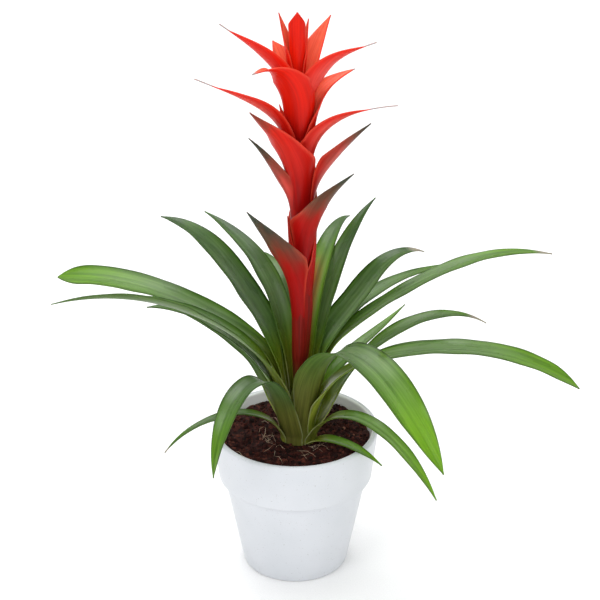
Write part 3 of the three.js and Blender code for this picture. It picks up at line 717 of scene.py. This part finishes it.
# Skin of the stalk: smooth living tissue, red above and brown where the rosette holds it.
# It gives the eye a soft sheen with faint lines along the stalk.
def stalkMaterial():
    material, tree, shader = startMaterial("stalkSkin", {
        "IOR": 1.42, "Specular IOR Level": 0.25, "Subsurface Weight": 0.1, "Subsurface Scale": 0.001,
    })
    place = addNode(tree, "TexCoord").outputs["Object"]
    body = byHeight(tree, place, (0.17, 0.42), [
        (0.0, "#5C4824"), (0.1, "#741A10"), (0.3, "#8C120C"), (0.6, "#94100C"), (1.0, "#B8160E"),
    ])
    lines = drawnOut(tree, place, (1000.0, 1000.0, 25.0), 3.0, 0.7)
    colour = darkenBy(tree, body, lines, "#C8B4B0", (0.3, 0.6))
    satin = addNode(tree, "MapRange", None, {0: lines, (3, 4): (0.38, 0.55)}).outputs[0]
    closeMaterial(tree, shader, colour, satin, lines, (0.3, 0.0002))
    return material


# A profile of (radius, height) corners in millimetres, spun to a closed body.
def spinProfile(profile, sides):
    bm = bmesh.new()
    corners = [bm.verts.new((radius * mm, 0, height * mm)) for radius, height in profile]
    edges = [bm.edges.new(pair) for pair in zip(corners, corners[1:])]
    bmesh.ops.spin(bm, geom=corners + edges, cent=(0, 0, 0), axis=(0, 0, 1), angle=2 * pi, steps=sides,
                   use_merge=True, dvec=(0, 0, 0))
    bmesh.ops.remove_doubles(bm, verts=bm.verts, dist=0.00001)
    bmesh.ops.recalc_face_normals(bm, faces=bm.faces)
    return bm


# A round of a profile, in equal pieces.
def arc(middle, radius, start, end, pieces):
    turns = [radians(start + (end - start) * i / pieces) for i in range(pieces + 1)]
    return [(middle[0] + radius * cos(turn), middle[1] + radius * sin(turn)) for turn in turns]


# The points between two corners of a profile, which part its straight line into equal pieces.
def between(start, end, pieces):
    shares = [i / pieces for i in range(1, pieces)]
    return [(lerp(start[0], end[0], f), lerp(start[1], end[1], f)) for f in shares]


stalkDetail = {"sides": 40, "step": 4.0, "ribs": 0.02, "ribCount": 9, "ribTwist": 0.02, "tipLength": 2.4}


def buildStalk():
    low, high = stalk[0][1], stalk[-1][1]
    count = round((high - low) / stalkDetail["step"])
    heights = [lerp(low, high, i / count) for i in range(count + 1)]
    profile = [(0, low)] + [(stalkAt(height)[1], height) for height in heights]
    bm = spinProfile(profile + [(0, high + stalkDetail["tipLength"])], stalkDetail["sides"])
    for vert in bm.verts:
        height = vert.co.z / mm
        turn = atan2(vert.co.y, vert.co.x)
        wave = sin(stalkDetail["ribCount"] * turn + stalkDetail["ribTwist"] * height)
        rib = 1 + stalkDetail["ribs"] * wave
        vert.co.x = vert.co.x * rib + stalkAt(height)[0] * mm
        vert.co.y *= rib
    finishPiece("spikeStalk", bm, [stalkMaterial()], ["flower_spike"])


buildStalk()
print("stalk ready")


# The pot: white glazed earthenware, thrown round, with a rim band and a small bare foot.
pot = {
    "height": 129.5, "rimRadius": 70, "bandHeight": 45, "bandRadius": 65.4, "bandRound": 1.4,
    "bodyRadius": 61, "footRadius": 44.5, "footRound": 2.5, "lipRadius": 2.6, "floor": 6, "cove": 4,
    "bandCove": 1.6, "footRing": 12, "floorRing": 20,
    "sides": 192, "wallRings": 11, "bandRings": 7, "footSteps": 8, "lipSteps": 12, "roundSteps": 5,
}
innerFoot = {"radius": 41, "height": 10}


def innerRadius(height):
    topRadius = pot["rimRadius"] - 2 * pot["lipRadius"]
    topHeight = pot["height"] - pot["lipRadius"]
    share = (height - innerFoot["height"]) / (topHeight - innerFoot["height"])
    return lerp(innerFoot["radius"], topRadius, share)


# Glazed earthenware: a glassy white layer over fired clay, smooth with a slight waviness.
# It gives the eye a cool white with very broad soft reflections, a few specks, a bare clay foot and an inner
# wall painted whiter, a painted light against the shade there.
def glazeMaterial():
    material, tree, shader = startMaterial("whiteGlazedEarthenware", {
        "IOR": 1.5, "Coat Weight": 0.2, "Coat Roughness": 0.3,
    })
    place = addNode(tree, "TexCoord").outputs["Object"]
    # clouds about 45 mm across and specks of 1.4 mm
    cloud = addNode(tree, "TexNoise", None,
                    {"Vector": place, "Scale": 22.0, "Detail": 2.0}).outputs["Fac"]
    speck = addNode(tree, "TexNoise", None,
                    {"Vector": place, "Scale": 700.0, "Detail": 1.0}).outputs["Fac"]
    glaze = addNode(tree, "ValToRGB", {"stops": [(0.3, "#CBCFD4"), (0.7, "#D2D5DA")]},
                    {"Fac": cloud}).outputs["Color"]
    colour = darkenBy(tree, glaze, speck, "#D0CEC8", (0.24, 0.3), 0.6)
    # bare clay under the foot, where the glaze was wiped off for the kiln
    height = addNode(tree, "SeparateXYZ", None, {"Vector": place}).outputs["Z"]
    wiped = addNode(tree, "Math", {"operation": "MULTIPLY_ADD"},
                    {0: cloud, 1: 0.0012, 2: height}).outputs[0]
    bare = addNode(tree, "MapRange", smoothRange,
                   {0: wiped, (1, 2): (0.0007, 0.001), (3, 4): (1.0, 0.0)}).outputs[0]
    colour = addNode(tree, "Mix", colourMix, {0: bare, 6: colour, 7: "#D8CFC2"}).outputs[2]
    # the inner wall is painted whiter, a painted light that lifts the shade inside the pot
    inside = addNode(tree, "Attribute", {"attribute_name": "inside"}).outputs["Fac"]
    colour = addNode(tree, "Mix", colourMix, {0: inside, 6: colour, 7: "#FBFCFF"}).outputs[2]
    gloss = addNode(tree, "MapRange", None,
                    {0: cloud, (1, 2): (0.3, 0.7), (3, 4): (0.4, 0.46)}).outputs[0]
    rough = addNode(tree, "Math", {"operation": "MAXIMUM"}, {0: gloss, 1: bare}).outputs[0]
    closeMaterial(tree, shader, colour, rough, cloud, (0.1, 0.0002))
    return material


def buildPot():
    footMiddle = pot["footRadius"] - pot["footRound"]
    bandFoot = pot["height"] - pot["bandHeight"]
    slope = (pot["bodyRadius"] - pot["footRadius"]) / bandFoot
    cove = pot["bandCove"]
    bodyTop = (pot["footRadius"] + slope * (bandFoot - cove), bandFoot - cove)
    bandTop = bandFoot + pot["bandRound"]
    bandMiddle = (pot["bandRadius"] - pot["bandRound"], bandTop)
    lipHeight = pot["height"] - pot["lipRadius"]
    lipMiddle = (pot["rimRadius"] - pot["lipRadius"], lipHeight)
    profile = [(0, 0), (footMiddle - pot["footRing"], 0)]
    for radius, height in arc((footMiddle, pot["footRound"]), pot["footRound"], -90, -8, pot["footSteps"]):
        profile.append((radius + slope * height, height))
    bodyFoot = (pot["footRadius"] + slope * pot["footRound"], pot["footRound"])
    profile += between(bodyFoot, bodyTop, pot["wallRings"])
    profile += arc((bodyTop[0] + cove, bodyTop[1]), cove, 180, 90, pot["roundSteps"])
    profile += arc(bandMiddle, pot["bandRound"], -90, 0, pot["roundSteps"])
    profile += between((pot["bandRadius"], bandTop), (pot["rimRadius"], lipHeight), pot["bandRings"])
    profile += arc(lipMiddle, pot["lipRadius"], 0, 180, pot["lipSteps"])
    innerTop = (innerRadius(lipHeight), lipHeight)
    profile += between(innerTop, (innerFoot["radius"], innerFoot["height"]), pot["wallRings"])
    coveMiddle = (innerFoot["radius"] - pot["cove"], innerFoot["height"])
    profile += arc(coveMiddle, pot["cove"], 0, -90, pot["roundSteps"])
    profile += [(pot["floorRing"], pot["floor"]), (0, pot["floor"])]
    bm = spinProfile(profile, pot["sides"])
    inside = bm.verts.layers.float.new("inside")
    # the inner wall is marked, so that its glaze can be painted whiter against the shade there
    for vert in bm.verts:
        height = vert.co.z / mm
        if height > pot["floor"] - 0.1 and hypot(vert.co.x, vert.co.y) / mm < innerRadius(height) + 1:
            vert[inside] = 1
    finishPiece("glazedPot", bm, [glazeMaterial()], ["pot"])


buildPot()
print("pot ready")


# The soil: damp peat crumbs with a few pale root fibres, around the foot of the plant.
soil = {
    "level": 120.5, "dip": 2.4, "sink": 0.4, "levelRadius": 18, "lumpRadius": 32, "holeRadius": 14.9,
    "holeFloor": 96, "slack": 0.6, "gap": 0.3, "edge": 6, "lump": 1.5, "grain": 0.7, "rings": 60,
    "sides": 240, "crumbs": 1300, "crumbSize": (0.8, 4.2), "crumbSides": (7, 5), "crumbEdge": 1.5,
    "crumbPower": 2.2, "crumbOver": 0.6, "crumbRise": 0.15, "crumbStretch": (0.6, 1.2),
    "crumbTone": (0.38, 0.24), "crumbDent": 0.22,
}


def soilTop(x, y):
    # height of the soil's face above its level: lumps 20 to 30 mm apart, and grain of 3 and 1 mm on them
    lumpy = smoothstep(hypot(x - stem["x"], y), soil["levelRadius"], soil["lumpRadius"])
    lump = sin(0.31 * x + 0.9) * cos(0.27 * y) + sin(0.13 * x - 0.22 * y)
    lump *= 0.5 * soil["lump"]
    grain = noise.noise(Vector((x * 0.35, y * 0.35, 2.0)))
    grain += 0.6 * noise.noise(Vector((x * 0.9, y * 0.9, 7.0)))
    wall = innerRadius(soil["level"])
    nearWall = smoothstep(hypot(x, y), wall - soil["edge"], wall)
    face = lerp(lerp(-soil["dip"], soil["sink"] + lump, lumpy), lump - 2 * soil["sink"], nearWall)
    return face + soil["grain"] * grain


# Peat and composted bark: damp dark crumbs, matt, with a shade of its own for each crumb.
# It gives the eye a rough broken ground with a few lighter bits.
def soilMaterial(name, shadeNode):
    material, tree, shader = startMaterial(name, {"IOR": 1.4, "Specular IOR Level": 0.22})
    place = addNode(tree, "TexCoord").outputs["Object"]
    shade = shadeNode(tree, place)
    body = addNode(tree, "ValToRGB", {"stops": [
        (0.0, "#1C0D0B"), (0.4, "#381A17"), (0.75, "#562820"), (0.95, "#784438"), (1.0, "#966858"),
    ]}, {"Fac": shade}).outputs["Color"]
    grit = addNode(tree, "TexNoise", None,
                   {"Vector": place, "Scale": 1400.0, "Detail": 3.0}).outputs["Fac"]
    colour = darkenBy(tree, body, grit, "#9A8A84", (0.35, 0.65), 0.8)
    damp = addNode(tree, "MapRange", None,
                   {0: grit, (1, 2): (0.3, 0.7), (3, 4): (0.6, 0.95)}).outputs[0]
    closeMaterial(tree, shader, colour, damp, grit, (0.8, 0.0005))
    return material


def bedShade(tree, place):
    # crumbs 3 mm across, each cell with its own shade
    return addNode(tree, "TexVoronoi", None, {"Vector": place, "Scale": 330.0}).outputs["Color"]


def crumbShade(tree, place):
    return addNode(tree, "Attribute", {"attribute_name": "crumbShade"}).outputs["Fac"]


def buildSoil():
    top = innerRadius(soil["level"]) - soil["slack"]
    floor = pot["floor"] + soil["gap"]
    hole = (soil["holeRadius"], soil["level"])
    profile = [(0, soil["holeFloor"]), (soil["holeRadius"], soil["holeFloor"]), hole]
    profile += between(hole, (top, soil["level"]), soil["rings"])
    profile += [(top, soil["level"]), (innerFoot["radius"] - soil["slack"], innerFoot["height"])]
    profile += [(innerFoot["radius"] - pot["cove"] - soil["slack"], floor), (0, floor)]
    bm = spinProfile(profile, soil["sides"])
    for vert in bm.verts:
        radius = hypot(vert.co.x, vert.co.y) / mm
        inside = 1 - smoothstep(radius, soil["holeRadius"], top)
        if vert.co.z > (soil["holeFloor"] - 1) * mm:
            vert.co.x += stem["x"] * mm * inside
        if vert.co.z > (soil["level"] - 1) * mm:
            vert.co.z += soilTop(vert.co.x / mm, vert.co.y / mm) * mm
    finishPiece("pottingSoil", bm, [soilMaterial("dampPeatBed", bedShade)], ["soil"])

    crumbs = bmesh.new()
    crumbs.verts.layers.float.new("crumbShade")
    around, along = soil["crumbSides"]
    placed = 0
    while placed < soil["crumbs"]:
        turn = dice.uniform(0, 2 * pi)
        radius = (top - soil["crumbEdge"]) * sqrt(dice.uniform(0, 1))
        x, y = radius * cos(turn), radius * sin(turn)
        if hypot(x - stem["x"], y) < soil["holeRadius"] + soil["crumbEdge"]:
            continue
        size = lerp(*soil["crumbSize"], dice.random() ** soil["crumbPower"])
        size = min(size, top - radius + soil["crumbOver"])
        turned = Euler([dice.uniform(0, 6.28) for i in range(3)]).to_matrix().to_4x4()
        height = soil["level"] + soilTop(x, y) + soil["crumbRise"] * size
        sunk = Matrix.Translation(Vector((x, y, height)) * mm)
        shaped = Matrix.Diagonal([size * mm * dice.uniform(*soil["crumbStretch"]) for i in range(3)] + [1])
        crumb = bmesh.new()
        shade = crumb.verts.layers.float.new("crumbShade")
        bmesh.ops.create_uvsphere(crumb, u_segments=around, v_segments=along, radius=0.5,
                                  matrix=sunk @ turned @ shaped)
        tone = min(max(dice.gauss(*soil["crumbTone"]), 0), 1)
        for vert in crumb.verts:
            # dents about as wide as a crumb
            vert.co += noise.noise_vector(vert.co * 900) * (soil["crumbDent"] * size * mm)
            vert[shade] = tone
        joinTo(crumbs, crumb, "crumb")
        placed += 1
    bmesh.ops.recalc_face_normals(crumbs, faces=crumbs.faces)
    crumbPeat = soilMaterial("dampPeatCrumbs", crumbShade)
    finishPiece("soilCrumbs", crumbs, [crumbPeat], ["soil"], smooth=False)


buildSoil()
print("soil ready")


# Root fibres that lie loose on the soil: a tangle left of the plant, a small one in front and a few more.
fibres = {
    "tangles": [
        # middle x and y, spread in x and y, heading in degrees and its spread, how many
        (-23, -8, 3, 10, 100, 35, 15), (19, -20, 4, 3, 20, 40, 7), (0, 0, 40, 40, 0, 90, 12),
    ],
    "length": (7, 22), "lengthPower": 1.5, "radius": (0.1, 0.19), "curl": 2.4, "turns": (0.7, 1.6),
    "lift": (0.48, 1.6), "above": 0.6, "edge": 3, "offStem": 2, "endTaper": 0.3, "sides": 5, "steps": 16,
}


# Dried root fibre: thin, straw-coloured and matt, paler where it has split.
# It gives the eye a few light scratches on the dark ground.
def fibreMaterial():
    material, tree, shader = startMaterial("dryRootFibre", {"IOR": 1.45, "Roughness": 0.8})
    place = addNode(tree, "TexCoord").outputs["Object"]
    streak = addNode(tree, "TexNoise", None,
                     {"Vector": place, "Scale": 160.0, "Detail": 2.0}).outputs["Fac"]
    tone = addNode(tree, "ValToRGB", {
        "stops": [(0.3, "#8A6A56"), (0.5, "#C0A68E"), (0.7, "#E0D0BA")],
    }, {"Fac": streak})
    tree.links.new(tone.outputs["Color"], shader.inputs["Base Color"])
    return material


def buildFibres():
    bm = bmesh.new()
    reach = innerRadius(soil["level"]) - fibres["edge"]
    for middleX, middleY, spreadX, spreadY, heading, headingSpread, count in fibres["tangles"]:
        placed = 0
        while placed < count:
            x, y = dice.gauss(middleX, spreadX), dice.gauss(middleY, spreadY)
            turn = radians(dice.gauss(heading, headingSpread))
            length = lerp(*fibres["length"], dice.random() ** fibres["lengthPower"])
            x -= 0.5 * length * cos(turn)
            y -= 0.5 * length * sin(turn)
            farX, farY = x + length * cos(turn), y + length * sin(turn)
            nearStem = min(hypot(x - stem["x"], y), hypot(farX - stem["x"], farY))
            nearWall = max(hypot(x, y), hypot(farX, farY))
            if nearWall > reach or nearStem < soil["holeRadius"] + fibres["offStem"]:
                continue
            radius = lerp(*fibres["radius"], dice.random())
            curl = dice.uniform(-1, 1) * fibres["curl"]
            lift = dice.uniform(*fibres["lift"])
            turns = dice.uniform(*fibres["turns"])
            fibre = bmesh.new()
            bmesh.ops.create_grid(fibre, x_segments=fibres["sides"], y_segments=fibres["steps"], size=1)
            for vert in fibre.verts:
                t = (vert.co.y + 1) / 2
                around = pi * vert.co.x
                thin = radius * sin(pi * t) ** fibres["endTaper"]
                aside = curl * sin(pi * turns * t) + thin * cos(around)
                spotX = lerp(x, farX, t) - sin(turn) * aside
                spotY = lerp(y, farY, t) + cos(turn) * aside
                height = soil["level"] + soilTop(spotX, spotY) + fibres["above"]
                height += lift * sin(pi * t) + thin * sin(around)
                vert.co = Vector((spotX, spotY, height)) * mm
            bmesh.ops.remove_doubles(fibre, verts=fibre.verts, dist=0.000001)
            joinTo(bm, fibre, "fibre")
            placed += 1
    bmesh.ops.recalc_face_normals(bm, faces=bm.faces)
    finishPiece("rootFibres", bm, [fibreMaterial()], ["soil"])


buildFibres()
print("fibres ready")


# The rootstock: a short green cone that the sheaths clasp.
rootstock = {"sides": 64, "rings": 40, "scar": 0.5, "scarEvery": 3.0, "gap": 0.3, "collar": 2}


# Living stem tissue: pale green and satin between the sheaths, darker in its ring scars.
# It gives the eye a soft green depth where two sheaths part.
def rootstockMaterial():
    material, tree, shader = startMaterial("paleStemTissue", {
        "IOR": 1.42, "Subsurface Weight": 0.1, "Subsurface Scale": 0.001,
    })
    place = addNode(tree, "TexCoord").outputs["Object"]
    body = byHeight(tree, place, (0.112, 0.15), [(0.0, "#4A3A22"), (0.25, "#7C7A3C"), (1.0, "#8A9A48")])
    mottle = addNode(tree, "TexNoise", None,
                     {"Vector": place, "Scale": 350.0, "Detail": 3.0}).outputs["Fac"]
    colour = darkenBy(tree, body, mottle, "#B8B09A", (0.3, 0.65))
    satin = addNode(tree, "MapRange", None, {0: mottle, (3, 4): (0.45, 0.65)}).outputs[0]
    closeMaterial(tree, shader, colour, satin, mottle, (0.4, 0.0003))
    return material


def buildRootstock():
    rootEnd = soil["holeFloor"] + rootstock["gap"]
    profile = [(0, rootEnd), (stem["footRadius"], rootEnd)]
    profile.append((stem["footRadius"], stem["foot"] - rootstock["collar"]))
    for i in range(rootstock["rings"] + 1):
        height = lerp(stem["foot"], stem["top"], i / rootstock["rings"])
        scar = rootstock["scar"] * (0.5 + 0.5 * cos(2 * pi * height / rootstock["scarEvery"]))
        profile.append((stemRadius(height) - scar, height))
    socketFloor = stem["top"] - stem["socketDepth"]
    profile += [(stem["socketRadius"], height) for height in (stem["top"], socketFloor)]
    bm = spinProfile(profile + [(0, socketFloor)], rootstock["sides"])
    bmesh.ops.translate(bm, verts=bm.verts, vec=(stem["x"] * mm, 0, 0))
    finishPiece("rootstockCone", bm, [rootstockMaterial()], ["rootstock"])


buildRootstock()
print("rootstock ready")
